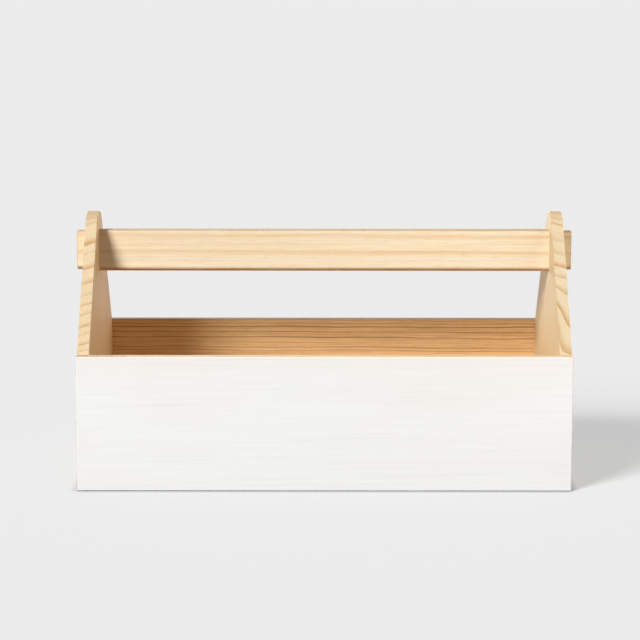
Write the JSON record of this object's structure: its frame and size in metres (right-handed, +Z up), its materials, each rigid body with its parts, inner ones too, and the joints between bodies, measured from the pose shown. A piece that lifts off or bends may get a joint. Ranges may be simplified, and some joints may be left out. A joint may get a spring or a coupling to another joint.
{
  "type": "wooden tool tote",
  "caption": "Open rectangular wooden carry tote with gabled ends, whitewashed long sides and a flat bar handle tenoned through both ends.",
  "frame": {"origin": "on the surface that the tote stands on, under the middle of the box", "axes": "+X along the handle to the right end, +Y from the front board to the back board, +Z up"},
  "size_m": [0.418, 0.22, 0.217],
  "materials": {
    "whitewashed_pine": "brushed whitewash over sanded pine on the outer face, bare sanded pine elsewhere",
    "pine_end_board": "sanded solid pine with a clear matt finish, grain upright",
    "pine_handle": "sanded solid pine with a clear matt finish, grain along the bar",
    "pine_plywood": "thin sanded pine plywood",
    "beech_dowel": "turned and fluted beech"
  },
  "bodies": {
    "root": {"front_panel": "whitewashed_pine", "back_panel": "whitewashed_pine", "left_end_panel": "pine_end_board", "right_end_panel": "pine_end_board", "bottom_panel": "pine_plywood", "handle_bar": "pine_handle", "front_left_dowels": "beech_dowel", "front_right_dowels": "beech_dowel", "back_left_dowels": "beech_dowel", "back_right_dowels": "beech_dowel"}
  },
  "joints": []
}
